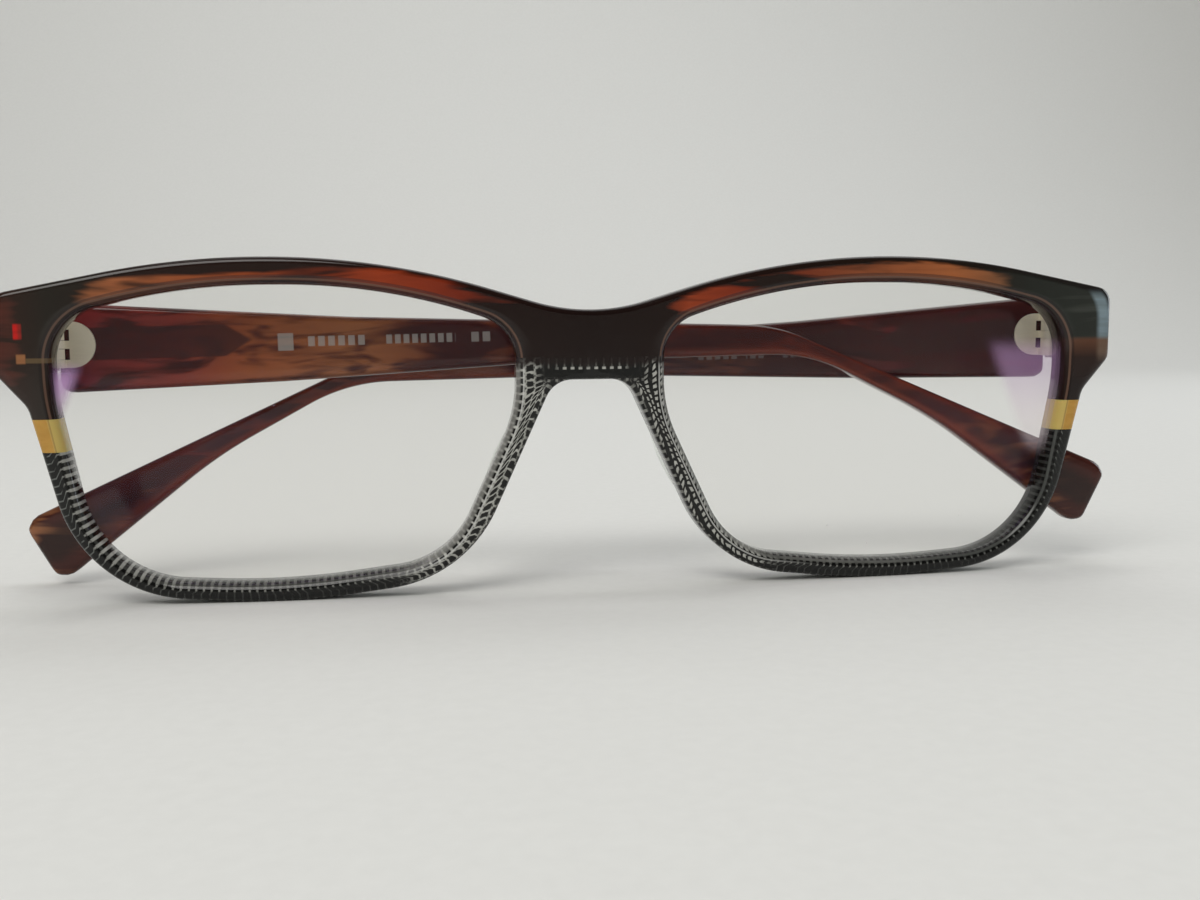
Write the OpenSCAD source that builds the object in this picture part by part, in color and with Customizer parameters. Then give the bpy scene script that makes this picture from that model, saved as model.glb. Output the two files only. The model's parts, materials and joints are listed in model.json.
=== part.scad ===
// Full-rim acetate eyeglasses, folded, standing on the lower rims.
// Millimetres. +X is to the right as seen from the front, +Y points back from the front of the
// frame to the arms, +Z is up. Left and right are as seen from the front.

/* [Front] */
// Width of the front over the end pieces
front_w = 136.6; // [136:0.2:138]
// Thickness of the rims, front face to back face
front_t = 4; // [3.8:0.1:4.4]
// Angle that each half of the front is bent back
wrap = 2; // [1.5:0.1:2.5]
// Distance between the two lens openings
bridge_w = 18; // [17.6:0.1:18.4]
// Height of the brow line over the lowest point of the rims
front_h = 40.4; // [40:0.1:41]
// Height where the dark brow meets the amber inlay
inlay_top = 22; // [21.5:0.1:22.3]
// Height of each amber inlay
inlay_h = 3.8; // [3:0.1:4.2]
// Height of the joint between brow and patterned lower front, across the bridge
bridge_joint = 28.4; // [27.5:0.1:29]

/* [Lenses] */
// Thickness of each lens
lens_t = 1.8; // [1.5:0.1:2]
// Depth of the lens behind the front face of the rim
lens_set = 1.1; // [1:0.1:1.3]
// How far the lens edge reaches into the rim groove
tongue = 0.5; // [0.4:0.05:0.6]
// Thickness of the lens edge in the groove
tongue_t = 0.8; // [0.6:0.1:1]

/* [Nose pads] */
// How far each nose pad stands back from the rim
pad_depth = 4.6; // [4:0.1:5]
// Radius of the rounded pad edge
pad_r = 1.35; // [1.2:0.05:1.5]

/* [Arms] */
// Thickness of an arm at its hinge
arm_t = 3.7; // [3.5:0.1:3.8]
// Thickness lost on the outer face between the hinge and the tip
arm_taper = 0.8; // [0.4:0.1:1]
// Distance of the arm's inner face from the hinge axis
arm_off = 1.3; // [1.3:0.05:1.4]
// Angle between the front and the right arm, which folds last and lies behind
right_fold = 2.8; // [2.6:0.1:3]
// Angle between the front and the left arm, which folds first and leans to the lenses
left_fold = -1.2; // [-1.3:0.1:-1]
// How far the open arms splay out past square
splay = 5; // [4:0.5:6]
// Difference in slope between the two folded arms
skew = 2; // [1.8:0.1:2.2]

/* [Hinges] */
// Distance of each hinge axis from the middle of the front
hinge_x = 62.9; // [62.8:0.05:63]
// Distance of the hinge axis behind the front-most point of the frame
hinge_y = 7.9; // [7.8:0.05:8]
// Height of the middle of the hinge
hinge_z = 30.4; // [30.2:0.1:30.6]
// Height of the five knuckles together
hinge_h = 5.5; // [5.3:0.1:5.7]
// Radius of a knuckle
knuckle_r = 1.2; // [1.1:0.05:1.2]
// Radius of the hole through the knuckles
bore_r = 0.6; // [0.55:0.01:0.65]
// Radial play of the screw in the knuckles
bore_gap = 0.04; // [0.02:0.01:0.06]
// Reach of the rounded hinge plate along the arm
plate_l = 4.45; // [4:0.05:4.8]
// Thickness of the hinge plates
plate_t = 0.8; // [0.7:0.05:0.8]
// Length of the steel core blade inside an arm
core_l = 22.5; // [18:0.5:26]
// Width of the steel core blade
core_w = 3.7; // [3:0.1:4]

/* [Hidden] */

tortoise = [0.23, 0.09, 0.05];
amber = [0.85, 0.6, 0.2];
lattice = [0.2, 0.2, 0.18];
clear = [0.85, 0.87, 0.85, 0.5];
lens_tint = [0.9, 0.93, 0.95, 0.35];
steel = [0.8, 0.8, 0.78];

fit = 0.02;             // play around a piece that is bedded in acetate
chord = 0.02;           // how far a straight step may lie off an arc
big = 200;              // larger than the whole part
cyl_fn = 96;
lens_x = bridge_w / 2;  // inner side of the right lens opening
half_w = front_w / 2;
knuckle_gap = 0.04;     // play between neighbouring knuckles
arm_knuckle_h = 0.96;
front_knuckle_h = (hinge_h - 3 * arm_knuckle_h) / 2 - 2 * knuckle_gap;
front_knuckle_z = (arm_knuckle_h + front_knuckle_h) / 2 + knuckle_gap;
plate_proud = 0.25;     // the arm plate stands out of the arm's inner face by this much
plate_out = arm_off - plate_proud;
plate_w = 3.2;          // width of the plate in the end piece
anchor_r = 0.6;         // pins that hold that plate in the acetate
anchor_l = 3.2;
anchor_z = 1.7;         // each pin's distance from the middle of the hinge
head_r = 1.05;          // screw head
head_h = 0.6;
slot_w = 0.3;
core_start = 1.5;       // the blade starts this far from the hinge axis
core_point = 3;         // length of its pointed end
core_deep = 0.7;        // depth of the blade behind the arm's inner face
end_x = hinge_x + knuckle_r + 0.2;      // inner side of the thick end pieces, clear of the knuckles
end_back = hinge_y - 0.3;               // back face of the end pieces
end_foot = hinge_z - hinge_h / 2 - 1;   // the end pieces are thick from here up
nose_reach = 14;        // the bridge and the nose sides lie within this of the middle
inlay_from = 40;        // the amber inlays lie outside this
depth_mid = 9.5;        // half of the folded depth, front to back

// Outline of the right half of the front: corners as [x, z, radius], round at every corner.
half_front = [
    [0, front_h - 7.4, 24],                  // dip over the bridge
    [24.7, front_h, 90],                     // rise to the brow
    [47.3, front_h, 94],                     // brow falls to the end piece
    [half_w, front_h - 4.2, 2],              // top of the end piece
    [half_w - 0.05, front_h - 13, 1.6],      // foot of the end piece
    [half_w - 3.6, front_h - 17.1, 3],       // step in to the rim
    [half_w - 9, 1.4, 15.5],                 // lower outer corner
    [36, -0.374, 80],                        // bottom of the rim
    [15.4, 2.1, 16],                         // lower nose corner
    [4.5, 25.7, 3.4]                         // top of the nose arch
];
// Outline of the right lens opening, the same way.
lens_outline = [
    [lens_x, 32, 5.5],
    [24.4, front_h - 3.2, 72],
    [47, front_h - 3.2, 74],
    [half_w - 6.2, 33.5, 6.5],
    [half_w - 6.3, 24.5, 25],
    [half_w - 10.5, 3.2, 12.5],
    [36.5, 1.9, 90],
    [17.3, 4.2, 11],
    [lens_x, 22, 16]
];
// Outline of an arm, [distance from the hinge, height over the hinge, radius].
arm_outline = [
    [0, 5, 1.2],                             // top of the butt end
    [34, 2.5, 100],
    [88, 0, 20],                             // bend over the ear, top
    [133.6, -20.2, 2.2],                     // tip, top
    [129.5, -28.3, 2.2],                     // tip, bottom
    [109, -12.5, 60],
    [92.5, -3.8, 22],                        // bend over the ear, underside
    [60, -3.8, 150],
    [26, -5.2, 60],
    [0, -5.8, 1.5]                           // bottom of the butt end
];

function flip(pts) = [for (i = [len(pts) - 1:-1:0]) [-pts[i][0], pts[i][1], pts[i][2]]];
front_outline = concat(half_front, [for (p = flip(half_front)) if (p[0] < -0.01) p]);

function unit(v) = v / norm(v);
function cross2(a, b) = a[0] * b[1] - a[1] * b[0];
function at(pts, i) = [pts[(i + len(pts)) % len(pts)][0], pts[(i + len(pts)) % len(pts)][1]];
// Points of a clockwise outline with every corner rounded, grown outward by grow.
function rounded(pts, grow = 0) = [
    for (i = [0:len(pts) - 1])
        let (here = at(pts, i),
             u = unit(at(pts, i - 1) - here),
             v = unit(at(pts, i + 1) - here),
             half = acos(u * v) / 2,
             outward = cross2(u, v) > 0 ? 1 : -1,
             r = pts[i][2] + outward * grow,
             mid = here - outward * unit(u + v) * grow / sin(half),
             centre = mid + unit(u + v) * r / sin(half),
             from = mid + u * r / tan(half) - centre,
             a0 = atan2(from[1], from[0]),
             turn = -outward * (180 - 2 * half),
             steps = max(2, ceil(abs(turn) / (2 * acos(1 - chord / r)))))
            for (k = [0:steps]) centre + r * [cos(a0 + turn * k / steps), sin(a0 + turn * k / steps)]
];

// Stands a flat outline up in the XZ plane, running back along +Y from y0 to y1.
module upright(y0, y1) translate([0, y1, 0]) rotate([90, 0, 0]) linear_extrude(y1 - y0) children();

// One half of the front, bent back about the middle. Depths run back from the front face.
module bent() intersection() {
    rotate([0, 0, wrap]) children();
    slab(0, big, -10, big);
}

module slab(x0, x1, z0, z1) translate([x0, -5, z0]) cube([x1 - x0, 40, z1 - z0]);

module both() {
    children();
    mirror([1, 0, 0]) children();
}

module on_side(side) if (side == "left") mirror([1, 0, 0]) children(); else children();

function slope(side) = side == "left" ? skew / 2 : -skew / 2;
function fold(side) = side == "left" ? left_fold : right_fold;

// Hinge frame: origin in the middle of the hinge, local Z along the screw.
module at_hinge(side) on_side(side)
    translate([hinge_x, hinge_y, hinge_z]) rotate([-slope(side), 0, 0]) children();
// Arm frame: turned to the folded angle, with the arm running along local -X.
module at_arm(side) at_hinge(side) rotate([0, 0, -fold(side)]) children();

module lens_shape(play) rotate([0, 0, wrap]) {
    upright(lens_set, lens_set + lens_t) polygon(rounded(lens_outline, play));
    upright(lens_set + (lens_t - tongue_t) / 2 - fit - play, lens_set + (lens_t + tongue_t) / 2 + fit + play)
        polygon(rounded(lens_outline, tongue + play));
}

module lens(side) color(lens_tint) on_side(side) lens_shape(-fit);

// The rims, bridge and end pieces in one, before they are split by colour.
module front_blank() difference() {
    both() {
        bent() upright(0, front_t) polygon(rounded(front_outline));
        intersection() {
            upright(4, end_back) polygon(rounded(front_outline));
            slab(end_x, big, end_foot, big);
        }
    }
    both() rotate([0, 0, wrap]) {
        upright(-2, 14) polygon(rounded(lens_outline));
        upright(lens_set + (lens_t - tongue_t) / 2 - fit, lens_set + (lens_t + tongue_t) / 2 + fit)
            polygon(rounded(lens_outline, tongue));
    }
    at_hinge("left") front_plate(fit);
    at_hinge("right") front_plate(fit);
}

module front_brow() color(tortoise) intersection() {
    front_blank();
    union() {
        slab(-big, -nose_reach, inlay_top, big);
        slab(nose_reach, big, inlay_top, big);
        slab(-nose_reach, nose_reach, bridge_joint, big);
    }
}

module front_lower() color(lattice) intersection() {
    front_blank();
    union() {
        slab(-big, big, -10, inlay_top - inlay_h);
        slab(-nose_reach, nose_reach, -10, bridge_joint);
    }
}

module amber_inlay(side) color(amber) intersection() {
    front_blank();
    on_side(side) slab(inlay_from, big, inlay_top - inlay_h, inlay_top);
}

// Clear pad bonded to the back of the rim beside the nose.
module nose_pad(side) color(clear) on_side(side) rotate([0, 0, wrap]) intersection() {
    pad_back = front_t + pad_depth - pad_r;
    hull() {
        translate([7.9, front_t, 21]) sphere(r = 0.9, $fn = 32);
        translate([12.5, front_t, 10.5]) sphere(r = 0.9, $fn = 32);
        translate([9.2, pad_back, 18.6]) sphere(r = pad_r, $fn = 32);
        translate([12.3, pad_back, 12.2]) sphere(r = pad_r, $fn = 32);
    }
    translate([0, front_t + fit, 0]) cube([30, 20, 30]);
}

// One knuckle with the web that joins it to its plate. The web's corner is given in the hinge frame.
module knuckle(z_mid, h, web_from, web_to) translate([0, 0, z_mid - h / 2]) {
    cylinder(r = knuckle_r, h = h, $fn = cyl_fn);
    translate(web_from) cube([web_to[0] - web_from[0], web_to[1] - web_from[1], h]);
}

module bore() translate([0, 0, -hinge_h]) cylinder(r = bore_r, h = 2 * hinge_h, $fn = cyl_fn);

// Plate and two anchor pins of the front leaf. Grown by play, it cuts its own bed.
module front_plate(play) {
    top = end_back - hinge_y;
    open_back = play > 0 ? 1 : 0;
    translate([end_x - hinge_x - play, top - plate_t - play, -hinge_h / 2 - play])
        cube([plate_w + 2 * play, plate_t + play + open_back, hinge_h + 2 * play]);
    for (z = [-anchor_z, anchor_z])
        translate([end_x - hinge_x + plate_w / 2, top - plate_t - anchor_l - play, z])
            rotate([-90, 0, 0]) cylinder(r = anchor_r + play, h = anchor_l + 0.2 + play, $fn = 32);
}

module front_hinge(side) color(steel) at_hinge(side) difference() {
    union() {
        front_plate(0);
        for (z = [-front_knuckle_z, front_knuckle_z])
            knuckle(z, front_knuckle_h, [0, -1], [end_x - hinge_x + 0.3, end_back - hinge_y]);
    }
    bore();
}

// Plate of the arm leaf, straight at the knuckles. Grown by play, it cuts its own bed.
module arm_plate(play) {
    round_x = hinge_h / 2 - plate_l;    // beyond this the plate is a half disc
    open_face = play > 0 ? 1 : 0;
    straight_end = play > 0 ? 0.5 : -0.35;
    depth = plate_t + play + open_face;
    translate([0, plate_out - open_face, 0]) {
        intersection() {
            translate([round_x, 0, 0]) rotate([-90, 0, 0])
                cylinder(r = hinge_h / 2 + play, h = depth, $fn = cyl_fn);
            translate([-big, -1, -big / 2]) cube([big + round_x + 0.5, depth + 2, big]);
        }
        translate([round_x, 0, -hinge_h / 2 - play])
            cube([straight_end - round_x, depth, hinge_h + 2 * play]);
    }
}

module arm_hinge(side) color(steel) at_arm(side) difference() {
    arm_knuckle_z = (hinge_h - arm_knuckle_h) / 2;
    union() {
        difference() {
            arm_plate(0);
            for (z = [-front_knuckle_z, front_knuckle_z])
                translate([-1.5, 0, z - front_knuckle_h / 2 - knuckle_gap])
                    cube([5, 10, front_knuckle_h + 2 * knuckle_gap]);
        }
        for (z = [-arm_knuckle_z, 0, arm_knuckle_z])
            knuckle(z, arm_knuckle_h, [-1.1, 0], [0, plate_out + plate_t]);
    }
    bore();
}

// Slotted screw from above, with its end just through the lowest knuckle.
module hinge_screw(side) color(steel) at_arm(side) difference() {
    union() {
        translate([0, 0, -hinge_h / 2 - 0.3])
            cylinder(r = bore_r - bore_gap, h = hinge_h + 0.5, $fn = cyl_fn);
        translate([0, 0, hinge_h / 2]) cylinder(r = head_r, h = head_h, $fn = cyl_fn);
    }
    translate([-2, -slot_w / 2, hinge_h / 2 + head_h / 2]) cube([4, slot_w, 1]);
}

// Flat core blade with a pointed end, grown by play for its pocket.
module core_shape(play) mirror([1, 0, 0])
    upright(arm_off + core_deep - play, arm_off + core_deep + plate_t + play)
        polygon([[core_start - play, -core_w / 2 - play],
                 [core_l - core_point, -core_w / 2 - play],
                 [core_l + play, 0],
                 [core_l - core_point, core_w / 2 + play],
                 [core_start - play, core_w / 2 + play]]);

module arm_core(side) color(steel) at_arm(side) rotate([0, slope(side), 0]) core_shape(0);

module arm_body() difference() {
    mirror([1, 0, 0]) upright(arm_off, arm_off + arm_t) polygon(rounded(arm_outline));
    // outer face thins towards the tip
    translate([0, arm_off + arm_t, -big / 2]) rotate([0, 0, atan(arm_taper / arm_outline[3][0])])
        translate([-big, 0, 0]) cube([big, 10, big]);
    core_shape(fit);
}

module arm(side) color(tortoise) at_arm(side) difference() {
    rotate([0, slope(side), 0]) arm_body();
    arm_plate(fit);
    // butt end, square to the end piece when the arm is open
    rotate([0, 0, splay]) translate([-0.1, -5, -20]) cube([20, 30, 40]);
}

module placed() translate([0, -depth_mid, 0]) children();

placed() front_brow();
placed() front_lower();
placed() amber_inlay("left");  // amber_inlay_left
placed() amber_inlay("right");  // amber_inlay_right
placed() nose_pad("left");  // nose_pad_left
placed() nose_pad("right");  // nose_pad_right
placed() lens("left");  // lens_left
placed() lens("right");  // lens_right
placed() front_hinge("left");  // front_hinge_left
placed() front_hinge("right");  // front_hinge_right
placed() arm_hinge("left");  // arm_hinge_left
placed() arm_hinge("right");  // arm_hinge_right
placed() hinge_screw("left");  // hinge_screw_left
placed() hinge_screw("right");  // hinge_screw_right
placed() arm("left");  // arm_left
placed() arm("right");  // arm_right
placed() arm_core("left");  // arm_core_left
placed() arm_core("right");  // arm_core_right
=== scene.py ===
"""Folded full-rim acetate eyeglasses, standing on the lower rims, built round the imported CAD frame.

Lengths in the outlines are millimetres, and MM turns them into metres. The frame of the CAD part
is used throughout: +X to the right as seen from the front, +Y from the front back, +Z up.
"""
import json
import math

import bmesh
import bpy
import numpy as np
from mathutils import Matrix, Vector


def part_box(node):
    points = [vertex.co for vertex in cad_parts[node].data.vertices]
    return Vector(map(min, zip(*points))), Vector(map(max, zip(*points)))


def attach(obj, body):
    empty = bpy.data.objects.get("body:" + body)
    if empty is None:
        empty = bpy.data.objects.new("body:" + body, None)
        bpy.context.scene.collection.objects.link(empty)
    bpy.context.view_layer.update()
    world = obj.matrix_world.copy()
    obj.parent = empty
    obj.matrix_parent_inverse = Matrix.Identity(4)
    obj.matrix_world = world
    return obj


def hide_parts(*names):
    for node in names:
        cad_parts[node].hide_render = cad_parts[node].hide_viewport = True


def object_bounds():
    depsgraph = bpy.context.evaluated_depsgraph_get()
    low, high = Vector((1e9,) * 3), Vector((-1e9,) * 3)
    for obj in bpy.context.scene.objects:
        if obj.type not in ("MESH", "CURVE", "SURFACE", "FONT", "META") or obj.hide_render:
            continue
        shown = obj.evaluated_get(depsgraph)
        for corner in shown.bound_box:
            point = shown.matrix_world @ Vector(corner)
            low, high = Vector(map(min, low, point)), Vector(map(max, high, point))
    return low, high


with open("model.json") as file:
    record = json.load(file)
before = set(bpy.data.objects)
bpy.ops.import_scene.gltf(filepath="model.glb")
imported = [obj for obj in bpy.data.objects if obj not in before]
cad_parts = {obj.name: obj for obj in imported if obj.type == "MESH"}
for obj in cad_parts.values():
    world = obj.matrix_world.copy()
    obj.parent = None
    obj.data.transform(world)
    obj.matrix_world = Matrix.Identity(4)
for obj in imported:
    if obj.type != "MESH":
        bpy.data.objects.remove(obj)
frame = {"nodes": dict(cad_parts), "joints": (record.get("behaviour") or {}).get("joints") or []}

MM = 0.001
cad_low, cad_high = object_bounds()
joints = {j["name"]: j for j in frame["joints"]}
hinge = Vector(joints["fold_right"]["pos_m"]) / MM      # hinge axis of the right arm

# Driving sizes, the same as the CAD part's
front_y = cad_low.y / MM        # front-most face of the rims
half_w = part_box("front_brow")[1].x / MM
front_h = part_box("front_brow")[1].z / MM
rim_t = 4.0                     # rim, front face to back face
wrap = math.tan(math.radians(2.0))      # each half of the front leans back by this slope
wrap_blend = 3.0                # the lean starts gently over this distance from the middle
lens_x = 9.0                    # inner side of the right lens opening
bridge_joint = 28.4             # joint between brow and lower front, at the bridge
inlay_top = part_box("amber_inlay_right")[1].z / MM
inlay_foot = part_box("amber_inlay_right")[0].z / MM
nose_reach = 14.0               # the bridge and the nose sides lie within this of the middle
end_back = 7.45                 # back face of the thick end pieces, from the front
arm_off = 1.3                   # the arm's inner face, from the hinge axis
arm_t = 3.7                     # the arm's thickness at the hinge
arm_taper = 0.8                 # how much thinner it is at the tip
arm_length = 133.6
butt_start = -0.22              # where the butt end of an arm starts, along it from the hinge
fold_angle = {"right": 2.8, "left": -1.2}
slope_angle = {"right": -1.0, "left": 1.0}
splay = math.tan(math.radians(5.0))

# Outlines, clockwise: each corner is (x, z, radius)
half_front = [
    (0, front_h - 7.4, 24), (24.7, front_h, 90), (47.3, front_h, 94), (half_w, front_h - 4.2, 2),
    (half_w - 0.05, front_h - 13, 1.6), (half_w - 3.6, front_h - 17.1, 3), (half_w - 9, 1.4, 15.5),
    (36, -0.374, 80), (15.4, 2.1, 16), (4.5, 25.7, 3.4)]
lens_outline = [
    (lens_x, 32, 5.5), (24.4, front_h - 3.2, 72), (47, front_h - 3.2, 74), (half_w - 6.2, 33.5, 6.5),
    (half_w - 6.3, 24.5, 25), (half_w - 10.5, 3.2, 12.5), (36.5, 1.9, 90), (17.3, 4.2, 11),
    (lens_x, 22, 16)]
end_block = [
    (64.3, 36.95, 0.5), (half_w - 0.05, front_h - 4.25, 1.9), (half_w - 0.1, front_h - 13, 1.5),
    (67.5, 26.65, 0.6), (64.3, 26.65, 0.5)]
# The same for an arm: (distance from the hinge, height over the hinge, radius)
arm_outline = [
    (0, 5, 1.2), (34, 2.5, 100), (88, 0, 20), (arm_length, -20.2, 2.2), (129.5, -28.3, 2.2),
    (109, -12.5, 60), (92.5, -3.8, 22), (60, -3.8, 150), (26, -5.2, 60), (0, -5.8, 1.5)]


# ---------------------------------------------------------------- outlines

def unit(v):
    """The vector scaled to a length of 1."""
    return v / np.linalg.norm(v)


def trace(corners, step=0.15):
    """Walks a clockwise outline with rounded corners. Returns points, outward normals, the way
    along it at each point, and the way along it at the middle of each corner."""
    pts = np.array([c[:2] for c in corners], float)
    n = len(pts)
    points, normals, middles = [], [], []
    for i in range(n):
        here = pts[i]
        u = unit(pts[i - 1] - here)
        v = unit(pts[(i + 1) % n] - here)
        half = math.acos(np.clip(u @ v, -1, 1)) / 2
        outward = 1 if u[0] * v[1] - u[1] * v[0] > 0 else -1
        r = corners[i][2]
        centre = here + unit(u + v) * r / math.sin(half)
        start = here + u * r / math.tan(half) - centre
        a0 = math.atan2(start[1], start[0])
        turn = -outward * (math.pi - 2 * half)
        count = max(6, 2 * int(abs(turn) * r / step / 2 + 1))
        if points:
            line(points, normals, centre + start, step)
        for k in range(count + 1):
            a = a0 + turn * k / count
            ray = np.array([math.cos(a), math.sin(a)])
            if k == count // 2:
                middles.append(len(points))
            points.append(centre + r * ray)
            normals.append(outward * ray)
    line(points, normals, points[0], step)
    points.append(points[0])
    normals.append(normals[0])
    points, normals = np.array(points), np.array(normals)
    way = np.concatenate([[0], np.cumsum(np.linalg.norm(np.diff(points, axis=0), axis=1))])
    return points, normals, way, [way[m] for m in middles]


def line(points, normals, end, step):
    """Adds a straight stretch up to end."""
    start, normal = points[-1], normals[-1]
    count = int(np.linalg.norm(end - start) / step)
    for k in range(1, count):
        points.append(start + (end - start) * k / count)
        normals.append(normal)


def along(traced, ways):
    """Points and normals of a traced outline at the given ways along it."""
    points, normals, way, _ = traced
    w = np.mod(ways, way[-1])
    p = np.stack([np.interp(w, way, points[:, k]) for k in (0, 1)], 1)
    q = np.stack([np.interp(w, way, normals[:, k]) for k in (0, 1)], 1)
    return p, q / np.linalg.norm(q, axis=1)[:, None]


def closed_loop(traced):
    """Points and normals of a traced outline, without the repeated last one."""
    points, normals, _, _ = traced
    return points[:-1], normals[:-1]


# ---------------------------------------------------------------- meshes

def make_object(name, verts, faces, attributes=None):
    """A mesh object from vertices in millimetres, with optional named vectors on its points."""
    mesh = bpy.data.meshes.new(name)
    mesh.from_pydata([tuple(Vector(v) * MM) for v in verts], [], faces)
    for key, values in (attributes or {}).items():
        layer = mesh.attributes.new(key, "FLOAT_VECTOR", "POINT")
        layer.data.foreach_set("vector", np.asarray(values, np.float32).ravel())
    tidy(mesh)
    mesh.shade_smooth()
    return add_object(name, mesh)


def add_object(name, data):
    """A new object in the scene that shows the data."""
    obj = bpy.data.objects.new(name, data)
    bpy.context.scene.collection.objects.link(obj)
    return obj


def tidy(mesh):
    """Merges doubled points and turns every face outward."""
    bm = bmesh.new()
    bm.from_mesh(mesh)
    bmesh.ops.remove_doubles(bm, verts=bm.verts, dist=1e-7)
    bmesh.ops.recalc_face_normals(bm, faces=bm.faces)
    bm.to_mesh(mesh)
    bm.free()


def grid_faces(rows, cols, wrap_cols=True, wrap_rows=False):
    """Quads of a grid whose vertices are stored row by row."""
    faces = []
    for r in range(rows if wrap_rows else rows - 1):
        for c in range(cols if wrap_cols else cols - 1):
            a, b = r * cols + c, r * cols + (c + 1) % cols
            d, e = (r + 1) % rows * cols + c, (r + 1) % rows * cols + (c + 1) % cols
            faces.append((a, b, e, d))
    return faces


def tube_faces(rows, cols):
    """A grid closed round its columns, with a face over each end."""
    faces = grid_faces(rows, cols)
    faces.append(tuple(range(cols)))
    faces.append(tuple(range((rows - 1) * cols, rows * cols)))
    return faces


def ride(obj, body, slot, material, *nodes):
    """Puts a finished piece on its body, in place of its CAD nodes. The slot is not used."""
    obj.data.materials.clear()
    obj.data.materials.append(material)
    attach(obj, body)
    if nodes:
        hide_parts(*nodes)


def lean(x):
    """How far the front leans back at x."""
    return wrap * (np.sqrt(np.square(x) + wrap_blend ** 2) - wrap_blend)


# ---------------------------------------------------------------- the front

# Layers of the rim's section, from the lens side round the front face to the back:
# (measured from, distance into the rim, depth). "lens" is the lens side, "edge" the outer side.
bevel_lens = [("lens", 0.0, 1.0), ("lens", 0.1, 0.62), ("lens", 0.42, 0.22), ("lens", 0.8, 0.03),
              ("lens", 0.95, 0.0)]
bevel_edge = [("edge", 0.85, 0.0), ("edge", 0.6, 0.03), ("edge", 0.3, 0.16), ("edge", 0.08, 0.42),
              ("edge", 0.0, 0.8)]
back_edge = [("edge", 0.0, rim_t - 0.6), ("edge", 0.12, rim_t - 0.22), ("edge", 0.5, rim_t)]
back_lens = [("lens", 0.5, rim_t), ("lens", 0.12, rim_t - 0.15), ("lens", 0.0, rim_t - 0.5)]
face_steps = 7
station_gap = 0.5       # between stations along the rim
weave_stretch = 1.04    # the pattern's way along the rim, over the way along the lens opening


def stations():
    """Pairs of ways along the lens opening and along the half front's edge, matched corner to
    corner. Ways past the arch run up the middle line of the bridge."""
    full = half_front + [(-x, z, r) for x, z, r in reversed(half_front[1:])]
    outer, inner = trace(full), trace(lens_outline)
    om, im = outer[3], inner[3]                 # the middles of their corners
    arch = (om[9] + om[10]) / 2
    total = inner[2][-1]
    top_way = im[0] - 2.2                       # beside the top of the bridge
    pairs = [(top_way, om[0]), (im[1], om[1]), (im[2], om[2]), (im[3], om[3]),
             ((im[3] + im[4]) / 2, om[4]), (im[4], om[5]), (im[5], om[6]), (im[6], om[7]),
             (im[7], om[8]), (im[8] + 1.0, om[9]), (im[8] + 4.5, arch)]
    ways_in, ways_out, middle = [], [], []
    for (a, b), (c, d) in zip(pairs, pairs[1:]):
        count = max(4, int(max(c - a, d - b) / station_gap))
        t = np.arange(count) / count
        ways_in += list(a + (c - a) * t)
        ways_out += list(b + (d - b) * t)
        middle += [0.0] * count
    end_way = pairs[-1][0]
    count = int((top_way + total - end_way) / station_gap)
    t = np.arange(count) / count
    ways_in += list(end_way + (top_way + total - end_way) * t)
    ways_out += [arch] * count
    middle += list(t)
    return outer, inner, np.array(ways_in), np.array(ways_out), np.array(middle), om[0]


def rim_layers():
    """Vertices of the right half of the front, layer by layer, and their pattern vectors."""
    outer, inner, ways_in, ways_out, middle, top = stations()
    p_in, n_in = along(inner, ways_in)
    p_out, n_out = along(outer, ways_out)
    p_top, n_top = along(outer, np.array([top]))
    width = np.linalg.norm(p_out - p_in, axis=1)

    def edge_points(inset):
        points = p_out - n_out * inset
        end = p_top[0] - n_top[0] * inset
        return points + (end - points) * middle[:, None]

    def layer(side, inset, depth):
        flat = p_in + n_in * inset if side == "lens" else edge_points(inset)
        v = np.full(len(flat), float(inset)) if side == "lens" else width - inset
        if inset == 0:
            v = v + (depth if side == "edge" else -depth)
        return flat, v, np.full(len(flat), float(depth))

    def face(first, last):
        a, b = layer(*first), layer(*last)
        for k in range(1, face_steps):
            t = k / face_steps
            yield tuple(a[i] + (b[i] - a[i]) * t for i in range(3))

    layers = [layer(*s) for s in bevel_lens]
    layers += face(bevel_lens[-1], bevel_edge[0])
    layers += [layer(*s) for s in bevel_edge + back_edge]
    layers += face(back_edge[-1], back_lens[0])
    layers += [layer(*s) for s in back_lens]
    u = (ways_in - ways_in[0]) * weave_stretch
    verts, pattern = [], []
    for flat, v, depth in layers:
        y = front_y + depth + lean(flat[:, 0])
        verts.append(np.stack([flat[:, 0], y, flat[:, 1]], 1))
        pattern.append(np.stack([u, v, v / width], 1))
    return np.array(verts), np.array(pattern)


def front_mesh():
    """The whole front as one smooth mesh, both halves joined at the middle of the bridge."""
    verts, pattern = rim_layers()
    layers, count = verts.shape[:2]
    verts, pattern = verts.reshape(-1, 3), pattern.reshape(-1, 3)
    verts[np.abs(verts[:, 0]) < 0.02, 0] = 0
    faces = grid_faces(layers, count, wrap_rows=True)
    faces = [f for f in faces if any(verts[i][0] > 1e-4 for i in f)]
    size = len(verts)
    mirrored = verts * [-1, 1, 1]
    faces += [tuple(i + size for i in reversed(f)) for f in faces]
    return np.vstack([verts, mirrored]), faces, np.vstack([pattern, pattern])


def region_of(point):
    """Which colour of the laminated front a point belongs to."""
    if abs(point.x) < nose_reach * MM:
        return "brow" if point.z > bridge_joint * MM else "lower"
    if point.z > inlay_top * MM:
        return "brow"
    if point.z < inlay_foot * MM:
        return "lower"
    return "inlay_right" if point.x > 0 else "inlay_left"


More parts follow.
